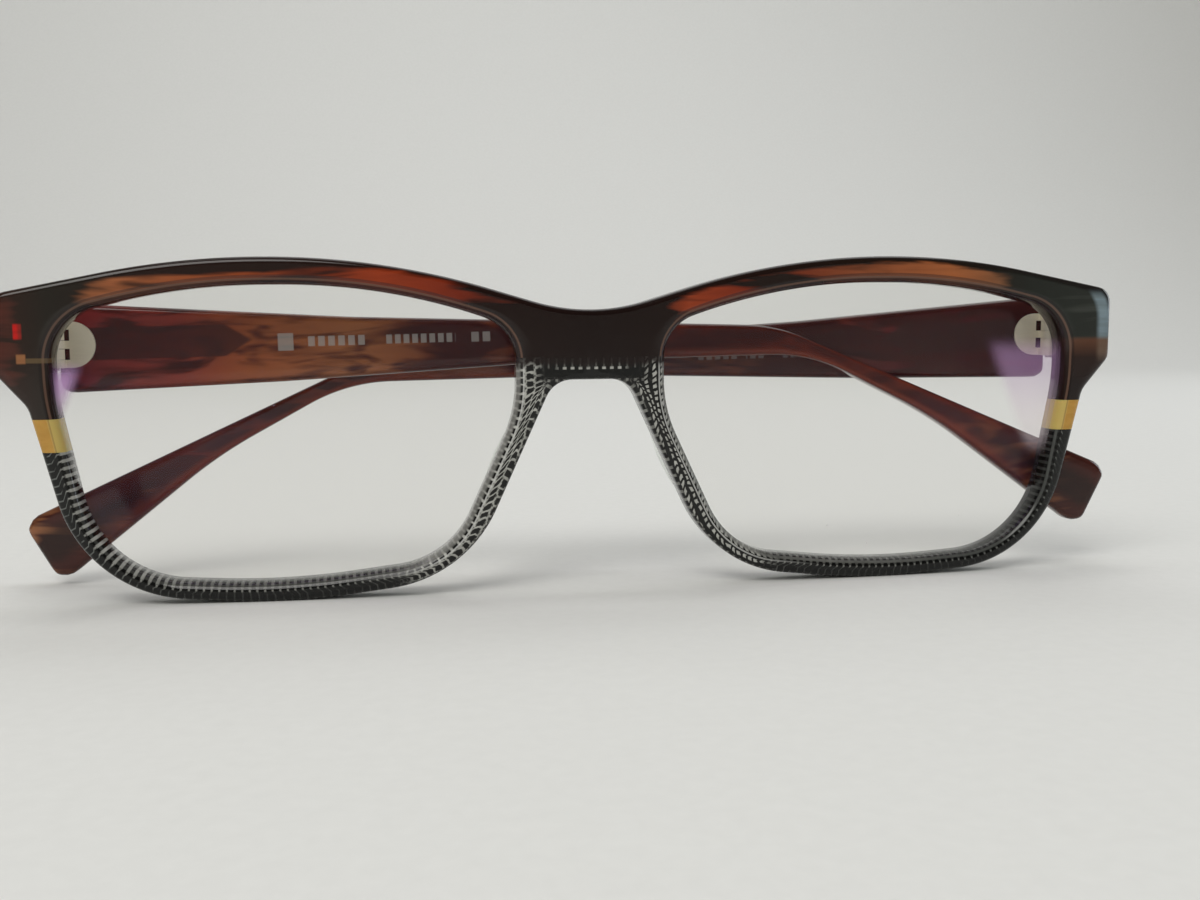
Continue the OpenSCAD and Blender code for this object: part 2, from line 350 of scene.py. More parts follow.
def cut_front(whole):
    """Cuts the front along its joints and returns one closed mesh for each piece."""
    bm = bmesh.new()
    bm.from_mesh(whole.data)
    for height, near in ((bridge_joint, True), (inlay_top, False), (inlay_foot, False)):
        faces = [f for f in bm.faces if (abs(f.calc_center_median().x) < nose_reach * MM) == near]
        edges = list({e for f in faces for e in f.edges})
        points = list({v for f in faces for v in f.verts})
        bmesh.ops.bisect_plane(bm, geom=faces + edges + points, dist=1e-8,
                               plane_co=(0, 0, height * MM), plane_no=(0, 0, 1))
    pieces = {}
    for region in ("brow", "lower", "inlay_left", "inlay_right"):
        part = bm.copy()
        away = [f for f in part.faces if region_of(f.calc_center_median()) != region]
        bmesh.ops.delete(part, geom=away, context="FACES")
        open_edges = [e for e in part.edges if e.is_boundary]
        bmesh.ops.holes_fill(part, edges=open_edges, sides=0)
        bmesh.ops.recalc_face_normals(part, faces=part.faces)
        pieces[region] = bpy.data.meshes.new("front_" + region)
        part.to_mesh(pieces[region])
        part.free()
    bm.free()
    return pieces


def block_mesh(side):
    """The thick back of an end piece, which the hinge plate is let into."""
    points, normals = closed_loop(trace(end_block, step=0.3))
    rings = [(0.0, rim_t - 1.2), (0.0, end_back - 0.45), (0.12, end_back - 0.13), (0.4, end_back)]
    verts = []
    for inset, depth in rings:
        flat = points - normals * inset
        verts += [(x * side, front_y + depth, z) for x, z in flat]
    return verts, tube_faces(len(rings), len(points))


def join(first, *others):
    """Joins meshes into the first object."""
    bm = bmesh.new()
    bm.from_mesh(first.data)
    for other in others:
        bm.from_mesh(other.data)
        bpy.data.objects.remove(other)
    bm.to_mesh(first.data)
    bm.free()


def soften(obj, angle=38):
    """Smooth shading that keeps the joints between pieces crisp."""
    obj.data.shade_smooth()
    obj.data.set_sharp_from_angle(angle=math.radians(angle))


def build_front():
    """The four pieces of the front: brow with its end blocks, lower front and two inlays."""
    verts, faces, pattern = front_mesh()
    whole = make_object("whole_front", verts, faces, {"rim": pattern})
    pieces = {}
    for region, mesh in cut_front(whole).items():
        pieces[region] = add_object("acetate_" + region, mesh)
        soften(pieces[region])
    bpy.data.objects.remove(whole)
    blocks = []
    for side in (-1, 1):
        verts, faces = block_mesh(side)
        marks = np.tile([0.0, 5.0, 0.8], (len(verts), 1))
        blocks.append(make_object("block", verts, faces, {"rim": marks}))
    join(pieces["brow"], *blocks)
    soften(pieces["brow"])
    ride(pieces["brow"], "front", "brow_acetate", brow_material(), "front_brow")
    ride(pieces["lower"], "front", "lower_acetate", lattice_material(), "front_lower")
    amber = amber_material()
    for side in ("left", "right"):
        ride(pieces["inlay_" + side], "front", "amber_acetate", amber, "amber_inlay_" + side)


# ---------------------------------------------------------------- lenses and pads

lens_rings = 16
lens_bulge = 1.4
lens_bulge_back = lens_bulge - 0.3
lens_edge_front, lens_edge_back = 1.5, 2.6
lens_groove = 0.35          # how far the lens reaches into the groove


def build_lens(side, material):
    """A lens with a curved front, its edge in the groove of the rim."""
    sign = 1 if side == "right" else -1
    points, normals = closed_loop(trace(lens_outline, step=0.6))
    rim = points + normals * lens_groove
    centre = (rim.min(0) + rim.max(0)) / 2
    verts = []

    def ring(t, depth, bulge):
        flat = centre + (rim - centre) * t
        y = front_y + depth - bulge * (1 - t * t) + lean(flat[:, 0])
        verts.extend((x * sign, d, z) for (x, z), d in zip(flat, y))

    for k in range(1, lens_rings + 1):
        ring(k / lens_rings, lens_edge_front, lens_bulge)
    for k in range(lens_rings, 0, -1):
        ring(k / lens_rings, lens_edge_back, lens_bulge_back)
    obj = make_object("curved_lens_" + side, verts, tube_faces(2 * lens_rings, len(rim)))
    soften(obj, 50)
    ride(obj, "front", "lens", material, "lens_" + side)


pad_top, pad_bottom = np.array([7.85, 21.5]), np.array([12.7, 9.9])     # (x, z)
pad_depth = 4.75


def build_pad(side, material):
    """A clear teardrop pad behind the rim beside the nose."""
    sign = 1 if side == "right" else -1
    rows, cols = 26, 28
    verts = []
    for i in range(rows):
        t = (1 - math.cos(math.pi * (i + 0.5) / rows)) / 2
        swell = math.sin(math.pi * t) ** 0.55
        x, z = pad_top + (pad_bottom - pad_top) * t
        reach = pad_depth * swell
        half = (0.55 + 0.75 * math.sin(math.pi * t)) * min(1, 1.4 * swell)
        for k in range(cols):
            a = 2 * math.pi * k / cols
            across = half * math.copysign(abs(math.cos(a)) ** 0.85, math.cos(a))
            back = rim_t - 0.2 + reach * (1 + math.sin(a)) / 2
            px = x + across + 0.35 * (1 + math.sin(a)) / 2
            verts.append((px * sign, front_y + back + lean(px), z))
    obj = make_object("clear_pad_" + side, verts, tube_faces(rows, cols))
    ride(obj, "front", "clear_acetate", material, "nose_pad_" + side)


# ---------------------------------------------------------------- arms

arm_round = 0.85        # rounding of an arm's long edges
arm_crown = 0.1         # how far the outer face bulges
arm_step = 0.8          # between stations along an arm
arm_face_steps = 8
arc_steps = 4


def arm_stations():
    """Matching points on the top and the bottom line of an arm, from the hinge to the tip."""
    traced = trace(arm_outline)
    m = traced[3]
    under = m[7] + (m[8] - m[7]) * 0.76
    pairs = [(m[0], m[9]), (m[1], under), (m[2], m[6]), (m[3], m[4])]
    top_ways, low_ways = [], []
    for (a, b), (c, d) in zip(pairs, pairs[1:]):
        count = int((c - a) / arm_step)
        t = np.arange(count) / count
        top_ways += list(a + (c - a) * t)
        low_ways += list(b + (d - b) * t)
    top_ways.append(pairs[-1][0])
    low_ways.append(pairs[-1][1])
    return along(traced, np.array(top_ways))[0], along(traced, np.array(low_ways))[0]


def arm_section(height, inset, y0, y1):
    """Rounded rectangle round one station, as (height over the bottom line, depth)."""
    r = min(arm_round, (y1 - y0) / 2 - inset - 0.02, height / 2 - inset - 0.02)
    lo, hi = inset + r, height - inset - r
    near, far = y0 + inset + r, y1 - inset - r
    section = []
    corners = [(lo, near, 270, 180), (lo, far, 180, 90), (hi, far, 90, 0), (hi, near, 0, -90)]
    for n, (h, y, a0, a1) in enumerate(corners):
        for k in range(arc_steps + 1):
            a = math.radians(a0 + (a1 - a0) * k / arc_steps)
            section.append((h + r * math.cos(a), y + r * math.sin(a)))
        if n % 2:       # steps across a broad face; the outer one is crowned
            end = corners[(n + 1) % 4][0]
            for k in range(1, arm_face_steps):
                t = k / arm_face_steps
                crown = arm_crown * (1 - (2 * t - 1) ** 2) if n == 1 else 0.0
                offset = r if n == 1 else -r
                section.append((h + (end - h) * t, y + offset + crown))
    return section


def arm_matrix(side):
    """From an arm's own (-distance, depth, height) to the folded pose, in millimetres."""
    slope, fold = math.radians(slope_angle[side]), math.radians(fold_angle[side])
    placed = (Matrix.Translation(hinge) @ Matrix.Rotation(-slope, 4, "X")
              @ Matrix.Rotation(-fold, 4, "Z") @ Matrix.Rotation(slope, 4, "Y"))
    return Matrix.Scale(-1, 4, (1, 0, 0)) @ placed if side == "left" else placed


def arm_rows():
    """(top point, bottom point, inset) of every section, with rounded ends past the stations."""
    tops, lows = arm_stations()
    to_butt = unit(tops[0] - tops[4] + lows[0] - lows[4])
    to_tip = np.array([0.9, -0.44])
    butt = [(0, 0.34, to_butt * 0.3), (0, 0.1, to_butt * 0.16)]
    tip = [(-1, 0.22, to_tip * 0.35), (-1, 0.75, to_tip * 0.62)]
    rows = [(tops[i] + off, lows[i] + off, inset) for i, inset, off in butt]
    rows += [(high, low, 0.0) for high, low in zip(tops, lows)]
    rows += [(tops[i] + off, lows[i] + off, inset) for i, inset, off in tip]
    return rows


def build_arm(side, material):
    """An arm lofted through its sections. It carries "arm" = (way along it, height, depth) and
    "edges" = (distance from its bottom line, from its top line, width)."""
    rows = arm_rows()
    matrix = arm_matrix(side)
    verts, marks, edges = [], [], []
    for high, low, inset in rows:
        length = np.linalg.norm(high - low)
        outer = arm_off + arm_t - arm_taper * (high[0] + low[0]) / 2 / arm_length
        for h, y in arm_section(length, inset, arm_off, outer):
            s, z = low + (high - low) * h / length
            s = max(s, butt_start + y * splay)
            verts.append(matrix @ Vector((-s, y, z)))
            marks.append((s, z, y))
            edges.append((h, length - h, length))
    faces = tube_faces(len(rows), len(verts) // len(rows))
    obj = make_object("acetate_arm_" + side, verts, faces, {"arm": marks, "edges": edges})
    soften(obj, 60)
    ride(obj, side + "_arm", "arm_acetate", material, "arm_" + side)


# ---------------------------------------------------------------- materials

class Shade:
    """One Principled material and short names for the nodes that feed it."""

    def __init__(self, name, **plain):
        self.material = bpy.data.materials.new(name)
        self.material.use_nodes = True
        self.tree = self.material.node_tree
        self.shader = self.tree.nodes["Principled BSDF"]
        for key, value in plain.items():
            self.shader.inputs[key.replace("_", " ")].default_value = value

    def add(self, kind, **settings):
        made = self.tree.nodes.new("ShaderNode" + kind)
        for key, value in settings.items():
            setattr(made, key, value)
        return made

    def plug(self, socket, value):
        if isinstance(value, bpy.types.NodeSocket):
            self.tree.links.new(value, socket)
        else:
            socket.default_value = value

    def math(self, operation, a, b=0.0, clamp=False):
        made = self.add("Math", operation=operation, use_clamp=clamp)
        self.plug(made.inputs[0], a)
        self.plug(made.inputs[1], b)
        return made.outputs[0]

    def mix(self, share, a, b):
        made = self.add("Mix", data_type="RGBA")
        self.plug(made.inputs["Factor"], share)
        self.plug(made.inputs["A"], a if isinstance(a, bpy.types.NodeSocket) else (*a, 1))
        self.plug(made.inputs["B"], b if isinstance(b, bpy.types.NodeSocket) else (*b, 1))
        return made.outputs["Result"]

    def band(self, value, low, high, soft):
        """1 between low and high, falling to 0 over soft on each side."""
        rise = self.step(value, low - soft, low)
        fall = self.step(value, high, high + soft)
        return self.math("SUBTRACT", rise, fall, clamp=True)

    def step(self, value, low, high):
        """Rises smoothly from 0 at low to 1 at high."""
        made = self.add("MapRange", interpolation_type="SMOOTHSTEP")
        for key, v in (("Value", value), ("From Min", low), ("From Max", high)):
            self.plug(made.inputs[key], v)
        return made.outputs["Result"]

    def place(self, scale=(1, 1, 1), name=None):
        """The point in millimetres, stretched by scale, or a named vector of the mesh."""
        if name:
            source = self.add("Attribute", attribute_name=name).outputs["Vector"]
        else:
            source = self.add("TexCoord").outputs["Object"]
            scale = [s / MM for s in scale]
        made = self.add("Mapping")
        self.plug(made.inputs["Vector"], source)
        made.inputs["Scale"].default_value = scale
        return made.outputs["Vector"]

    def split(self, vector):
        made = self.add("SeparateXYZ")
        self.plug(made.inputs[0], vector)
        return made.outputs

    def noise(self, vector, scale, detail=3.0, distortion=0.0, offset=None):
        if offset:
            moved = self.add("VectorMath", operation="ADD")
            self.plug(moved.inputs[0], vector)
            moved.inputs[1].default_value = offset
            vector = moved.outputs[0]
        made = self.add("TexNoise")
        self.plug(made.inputs["Vector"], vector)
        made.inputs["Scale"].default_value = scale
        made.inputs["Detail"].default_value = detail
        made.inputs["Distortion"].default_value = distortion
        return made.outputs["Fac"]

    def ramp(self, value, stops):
        made = self.add("ValToRGB")
        self.plug(made.inputs[0], value)
        elements = made.color_ramp.elements
        while len(elements) < len(stops):
            elements.new(0.5)
        for element, (position, colour) in zip(elements, stops):
            element.position = position
            element.color = (*colour, 1)
        return made.outputs["Color"]

    def ramp_mm(self, value, stops):
        """Colours, or plain numbers, placed along a length in millimetres."""
        first, last = stops[0][0], stops[-1][0]
        share = self.math("DIVIDE", self.math("SUBTRACT", value, first), last - first)
        spread = []
        for position, colour in stops:
            colour = colour if isinstance(colour, tuple) else (colour,) * 3
            spread.append(((position - first) / (last - first), colour))
        return self.ramp(share, spread)

    def flip(self, value):
        return self.math("SUBTRACT", 1.0, value)

    def times(self, first, *others):
        for other in others:
            first = self.math("MULTIPLY", first, other)
        return first

    def nudge(self, first, by, amount):
        """The first value, raised by amount times how far the second is over a half."""
        return self.math("ADD", first, self.times(self.math("SUBTRACT", by, 0.5), amount))

    def bump(self, height, strength, distance):
        made = self.add("Bump")
        made.inputs["Strength"].default_value = strength
        made.inputs["Distance"].default_value = distance
        self.plug(made.inputs["Height"], height)
        self.plug(self.shader.inputs["Normal"], made.outputs["Normal"])

    def base(self, colour):
        self.plug(self.shader.inputs["Base Color"], colour)

    def rough(self, low, high, vector, scale):
        """Roughness that varies from low to high, as polish does."""
        value = self.noise(vector, scale)
        made = self.add("MapRange")
        self.plug(made.inputs["Value"], value)
        made.inputs["To Min"].default_value = low
        made.inputs["To Max"].default_value = high
        self.plug(self.shader.inputs["Roughness"], made.outputs["Result"])


polish = {"IOR": 1.49, "Specular_IOR_Level": 0.36}      # what all the polished acetate shares
print_grey = (0.46, 0.44, 0.42)
anchor_red, anchor_red_end = (0.6, 0.012, 0.01), (0.3, 0.02, 0.015)
anchor_gold = (0.36, 0.15, 0.06)
# Colours of the painted violet reflection on the lenses, which the dust specks take too
reflection_and_dust_rose, reflection_and_dust_violet = (0.98, 0.84, 0.92), (0.68, 0.42, 0.76)

# How the brow's colours run from its left end (-70) to its right end (69): dark ground, flame
# colour, spread of the flames, and how far they reach from the lens side (0) to the edge (1)
brow_ground = [
    (-70, (0.04, 0.014, 0.01)), (-62, (0.02, 0.016, 0.012)), (-50, (0.018, 0.008, 0.006)),
    (-20, (0.016, 0.006, 0.004)), (0, (0.011, 0.005, 0.004)), (22, (0.014, 0.006, 0.004)),
    (50, (0.014, 0.009, 0.006)), (57, (0.018, 0.02, 0.016)), (69, (0.026, 0.029, 0.025))]
brow_flames = [
    (-70, (0.12, 0.024, 0.016)), (-65, (0.08, 0.026, 0.018)), (-60, (0.22, 0.08, 0.035)),
    (-55, (0.4, 0.13, 0.05)), (-42, (0.36, 0.075, 0.02)), (-34, (0.24, 0.035, 0.01)),
    (-25, (0.38, 0.05, 0.012)), (-16, (0.22, 0.025, 0.008)), (-8, (0.05, 0.012, 0.007)),
    (8, (0.06, 0.012, 0.007)), (12, (0.36, 0.055, 0.015)), (19, (0.26, 0.03, 0.009)),
    (27, (0.22, 0.04, 0.014)), (34, (0.32, 0.085, 0.03)), (46, (0.46, 0.14, 0.045)),
    (53, (0.24, 0.1, 0.045)), (58, (0.05, 0.052, 0.042)), (69, (0.06, 0.066, 0.06))]
brow_spread = [
    (-70, 0.6), (-66, 0.6), (-64, 0.15), (-60, 0.3), (-57, 0.75), (-54, 0.8), (-45, 0.85),
    (-37, 0.7), (-31, 0.75), (-22, 1.0), (-15, 0.65), (-10, 0.2), (-6, 0.1), (8, 0.1), (11, 0.75),
    (18, 0.75), (24, 0.35), (31, 0.7), (44, 1.0), (51, 0.85), (55, 0.4), (69, 0.45)]
brow_reach = [
    (-70, 1.0), (-62, 0.95), (-54, 0.72), (-46, 0.5), (-38, 0.42), (-31, 0.68), (-22, 0.88),
    (-12, 0.85), (10, 0.85), (24, 0.66), (34, 0.72), (46, 0.8), (52, 0.66), (58, 0.9), (69, 1.0)]


def brow_material():
    """Dark tortoise sheet: flames of amber and red whose colour and spread change along the
    brow, under a dark outer edge, with a painted highlight line along the lens-side bevel."""
    s = Shade("brow_tortoise", **polish)
    point = s.place()
    x, _, z = s.split(point)
    _, v, share = s.split(s.place(name="rim"))
    ground = s.ramp_mm(x, brow_ground)
    flame = s.ramp_mm(x, brow_flames)
    spread = s.ramp_mm(x, brow_spread)
    reach = s.ramp_mm(x, brow_reach)
    flow = s.place((0.055, 0.2, 0.42))
    large = s.noise(flow, 1.0, detail=2.0, distortion=0.9, offset=(3.1, 0.0, 1.7))
    fine = s.noise(s.place((0.14, 0.4, 1.3)), 1.0, detail=3.0, distortion=0.5)
    level = s.nudge(s.nudge(large, fine, 0.18), spread, 0.62)
    mask = s.step(level, 0.43, 0.64)
    limit = s.nudge(reach, fine, 0.3)
    mask = s.times(mask, s.flip(s.step(s.math("SUBTRACT", share, limit), -0.12, 0.06)))
    shade = s.mix(fine, s.mix(0.45, flame, ground), flame)
    colour = s.mix(mask, ground, shade)
    dark_edge = s.times(s.step(share, 0.8, 0.94), s.step(x, 36.0, 56.0), 0.8)
    colour = s.mix(dark_edge, colour, (0.011, 0.007, 0.006))
    colour = right_end(s, x, z, fine, colour)
    colour = s.mix(s.times(s.band(v, 0.84, 1.05, 0.12), 0.55), colour, (0.012, 0.006, 0.005))
    colour = s.mix(s.times(s.flip(s.step(v, 0.45, 0.6)), 0.85), colour, (0.017, 0.008, 0.006))
    # Painted highlight: a paler brown line along the lens-side bevel
    colour = s.mix(s.times(s.band(v, 0.56, 0.7, 0.1), 0.85), colour, (0.13, 0.07, 0.048))
    colour = anchor_glow(s, x, z, fine, colour)
    s.base(colour)
    s.rough(0.07, 0.15, point, 0.3)
    s.bump(s.noise(point, 0.35), 0.04, 0.0002)
    return s.material


def right_end(s, x, z, fine, colour):
    """The foot of the right end piece is brown, darker downwards, and a painted reflection inside its
    outer edge, light caught by the rounded edge, is pale blue above and brownish at the foot."""
    foot = s.times(s.step(x, 57.5, 60.0), s.flip(s.step(z, 29.6, 30.3)))
    brown = s.ramp_mm(z, [(24, (0.013, 0.007, 0.006)), (27.5, (0.024, 0.011, 0.008)),
                          (30, (0.12, 0.05, 0.027))])
    colour = s.mix(foot, colour, brown)
    # Painted reflection: a pale band just inside the outer edge, blue above and brownish at the foot,
    # stands in for light caught by the rounded edge
    arc = s.math("ADD", x, s.times(s.step(z, 32.0, 37.5), s.math("SUBTRACT", z, 32.0), 0.42))
    band = s.times(s.band(arc, 66.8, 67.7, 0.8), s.band(z, 28.2, 34.8, 1.6))
    pale = s.mix(s.step(z, 29.6, 30.4), (0.2, 0.14, 0.1), (0.32, 0.42, 0.48))
    strength = s.math("ADD", 0.28, s.times(fine, 0.5))
    return s.mix(s.times(band, strength), colour, pale)


def anchor_glow(s, x, z, fine, colour):
    """The two hinge anchors shine through the left end, one red and one gold."""
    uneven = s.math("ADD", 0.35, fine, clamp=True)
    red = s.times(s.band(x, -65.6, -64.9, 0.2), s.band(z, 31.3, 32.7, 0.3), uneven)
    bright = s.mix(s.step(x, -65.4, -65.0), anchor_red, anchor_red_end)
    colour = s.mix(red, colour, bright)
    gold = s.times(s.band(x, -65.4, -64.6, 0.2), s.band(z, 28.5, 29.3, 0.25), uneven)
    colour = s.mix(gold, colour, anchor_gold)
    rod = s.times(s.band(x, -64.4, -61.6, 0.2), s.band(z, 28.5, 28.9, 0.15))
    return s.mix(s.times(rod, 0.5), colour, (0.2, 0.13, 0.06))


def lattice_material():
    """Clear acetate with a black woven lattice inside: a woven band beside the nose, and
    almost solid black crossed by thin light threads everywhere else."""
    s = Shade("lattice_acetate", **polish)
    point = s.place()
    x, _, z = s.split(point)
    side = s.math("ABSOLUTE", x)
    u, v, share = s.split(s.place(name="rim"))
    wobble = s.math("SUBTRACT", s.noise(point, 0.9, detail=2.0), 0.5)
    beside_nose = nose_weave(s, x, u, v, share, wobble)
    around = outer_threads(s, x, u, v, share, wobble)
    ink = s.mix(s.step(s.math("ADD", side, s.times(wobble, 4.0)), 19.5, 24.0), beside_nose, around)
    arch = s.times(s.step(z, 24.4, 26.2), s.flip(s.step(side, 5.6, 7.4)))
    ink = s.mix(arch, ink, arch_ink(s, x, z))
    gap = s.mix(s.noise(point, 0.8, detail=2.0), (0.22, 0.22, 0.2), (0.6, 0.6, 0.56))
    far = s.step(side, 20.0, 30.0)
    gap = s.mix(s.times(far, s.step(v, 0.8, 1.2)), gap, (0.16, 0.17, 0.16))
    gap = s.mix(s.times(s.step(x, 30.0, 50.0), 0.8), gap, (0.15, 0.16, 0.15))
    colour = s.mix(ink, gap, (0.005, 0.005, 0.0045))
    # Painted highlight: a pale line along the lens side beside the nose, where the front face meets
    # the bevel
    lip = s.times(s.band(v, 0.74, 0.86, 0.06), s.flip(s.step(side, 16.0, 30.0)), 0.7)
    colour = s.mix(lip, colour, (0.62, 0.62, 0.6))
    under = s.step(s.math("ADD", z, s.times(wobble, 1.6)), 27.0, 27.9)
    colour = s.mix(s.times(under, 0.92), colour, (0.012, 0.006, 0.005))
    s.base(colour)
    s.rough(0.05, 0.13, point, 0.4)
    s.bump(s.flip(ink), 0.1, 0.00006)
    return s.material


def nose_weave(s, x, u, v, share, wobble):
    """Rows that follow the rim: staggered black squares on the left of the nose, and light
    slanting strokes on black on its right. The lens-side edge is mostly light, a painted highlight
    crossed by faint dark ticks."""
    shake = s.times(wobble, 0.8)
    across = s.math("ADD", v, s.times(wobble, 0.6))
    onward = s.math("ADD", u, shake)
    squares = brick(s, onward, across, (0.17, 0.79), (0.15, 0.79))
    thread = s.times(brick(s, onward, across, (0.4, 0.56), (0.0, 1.0)), 0.8)
    left = s.math("MAXIMUM", squares, thread)
    slanted = s.math("DIVIDE", s.math("ADD", onward, s.times(v, 1.05)), 0.82)
    rows = s.math("DIVIDE", across, 0.9)
    right = s.flip(brick(s, slanted, rows, (0.28, 0.76), (0.34, 0.64)))
    ink = s.mix(s.step(x, -1.0, 1.0), left, right)
    ticks = s.band(s.math("FRACT", s.math("DIVIDE", u, 0.92)), 0.14, 0.72, 0.12)
    ink = s.mix(s.step(share, 0.86, 0.93), ink, s.math("MAXIMUM", ticks, 0.5))
    # Painted highlight: the lens-side edge is mostly light, with faint dark ticks
    inner = s.flip(s.step(v, 0.25, 0.6))
    return s.mix(inner, ink, s.math("ADD", 0.3, s.times(ticks, 0.25)))


def brick(s, phase, rows, span_u, span_v):
    """1 inside the given span of each cell of a brick pattern."""
    shift = s.times(s.math("FLOOR", rows), 0.47)
    cell_u = s.math("FRACT", s.math("ADD", phase, shift))
    inside_u = s.band(cell_u, span_u[0], span_u[1], 0.11)
    if span_v == (0.0, 1.0):
        return inside_u
    return s.times(inside_u, s.band(s.math("FRACT", rows), span_v[0], span_v[1], 0.13))


def outer_threads(s, x, u, v, share, wobble):
    """Black with thin light threads, and rounded light bars on the lens side, clearest on the
    left, with a painted grey highlight line along the lens-side bevel, strongest on the right."""
    cell = s.math("FRACT", s.math("DIVIDE", s.math("ADD", u, s.times(wobble, 0.12)), 0.9))
    left = s.ramp_mm(x, [(-64, 1.0), (-55, 0.9), (-47, 0.3), (-36, 0.22), (30, 0.25), (54, 0.15),
                         (64, 0.1)])
    thread = s.times(s.band(cell, 0.43, 0.53, 0.08), s.step(wobble, -0.16, 0.06), left, 0.8)
    specks = s.times(s.band(cell, 0.4, 0.56, 0.1), s.band(share, 0.36, 0.42, 0.06), 0.5)
    tick = s.times(s.band(cell, 0.36, 0.6, 0.1), s.step(share, 0.88, 0.95), 0.55)
    bar = s.times(s.band(cell, 0.32, 0.64, 0.12), s.flip(s.step(v, 0.5, 0.8)),
                  s.math("ADD", s.times(left, 0.75), 0.06))
    # Painted highlight: a faint grey line along the lens-side bevel, stronger to the right
    line = s.times(s.band(v, 0.3, 0.45, 0.12), s.ramp_mm(x, [(-60, 0.1), (0, 0.2), (60, 0.35)]))
    light = s.math("MAXIMUM", s.math("MAXIMUM", thread, tick), s.math("MAXIMUM", bar, line))
    return s.flip(s.math("MAXIMUM", light, specks))


def arch_ink(s, x, z):
    """Solid black over the arch, with one row of small light dots and faint lines over it."""
    cell = s.math("FRACT", s.math("DIVIDE", x, 0.95))
    near = s.flip(s.step(s.math("ABSOLUTE", x), 3.2, 4.8))
    dots = s.times(s.band(cell, 0.34, 0.66, 0.14), s.band(z, 27.0, 27.2, 0.1), near)
    lines = s.times(s.band(cell, 0.44, 0.54, 0.12), s.band(z, 27.2, 28.2, 0.2), 0.3)
    foot = s.times(s.band(cell, 0.4, 0.6, 0.15), s.band(z, 25.5, 25.75, 0.08), 0.5)
    return s.flip(s.math("MAXIMUM", s.math("MAXIMUM", dots, lines), foot))


def amber_material():
    """Translucent golden acetate with a paler lens side."""
    s = Shade("amber_acetate", Subsurface_Weight=0.2, Subsurface_Scale=0.001, **polish)
    point = s.place()
    _, v, share = s.split(s.place(name="rim"))
    cloud = s.noise(s.place((0.4, 0.4, 0.9)), 1.0, detail=3.0, distortion=0.5)
    colour = s.mix(cloud, (0.4, 0.2, 0.03), (0.62, 0.36, 0.08))
    colour = s.mix(s.flip(s.step(v, 0.9, 1.2)), colour, (0.56, 0.42, 0.13))
    colour = s.mix(s.times(s.band(v, 0.86, 0.98, 0.06), 0.6), colour, (0.3, 0.17, 0.05))
    colour = s.mix(s.step(share, 0.88, 0.98), colour, (0.62, 0.4, 0.12))
    s.base(colour)
    s.rough(0.07, 0.16, point, 0.5)
    s.bump(cloud, 0.05, 0.0001)
    return s.material


# How the arms' colours run from the hinge (0) to the tip (134): flame colour, spread of flames
arm_flames = {
    "left": [(0, (0.24, 0.032, 0.034)), (14, (0.28, 0.045, 0.03)), (22, (0.36, 0.1, 0.035)),
             (34, (0.4, 0.15, 0.06)), (44, (0.24, 0.075, 0.03)), (60, (0.14, 0.03, 0.014)),
             (80, (0.12, 0.02, 0.012)), (110, (0.13, 0.026, 0.014)), (122, (0.2, 0.07, 0.03)),
             (134, (0.18, 0.06, 0.028))],
    "right": [(0, (0.1, 0.016, 0.02)), (20, (0.13, 0.02, 0.02)), (38, (0.16, 0.045, 0.022)),
              (56, (0.2, 0.06, 0.024)), (78, (0.26, 0.08, 0.032)), (92, (0.2, 0.04, 0.018)),
              (112, (0.15, 0.024, 0.014)), (124, (0.2, 0.06, 0.025)), (130, (0.32, 0.13, 0.055)),
              (134, (0.34, 0.14, 0.06))]}
arm_spread = {
    "left": [(0, 0.6), (12, 0.65), (20, 0.75), (34, 0.85), (46, 0.5), (70, 0.35), (110, 0.45),
             (124, 0.6), (130, 0.2), (134, 0.2)],
    "right": [(0, 0.35), (30, 0.4), (60, 0.45), (80, 0.7), (100, 0.4), (120, 0.35), (129, 0.25),
              (134, 0.9)]}


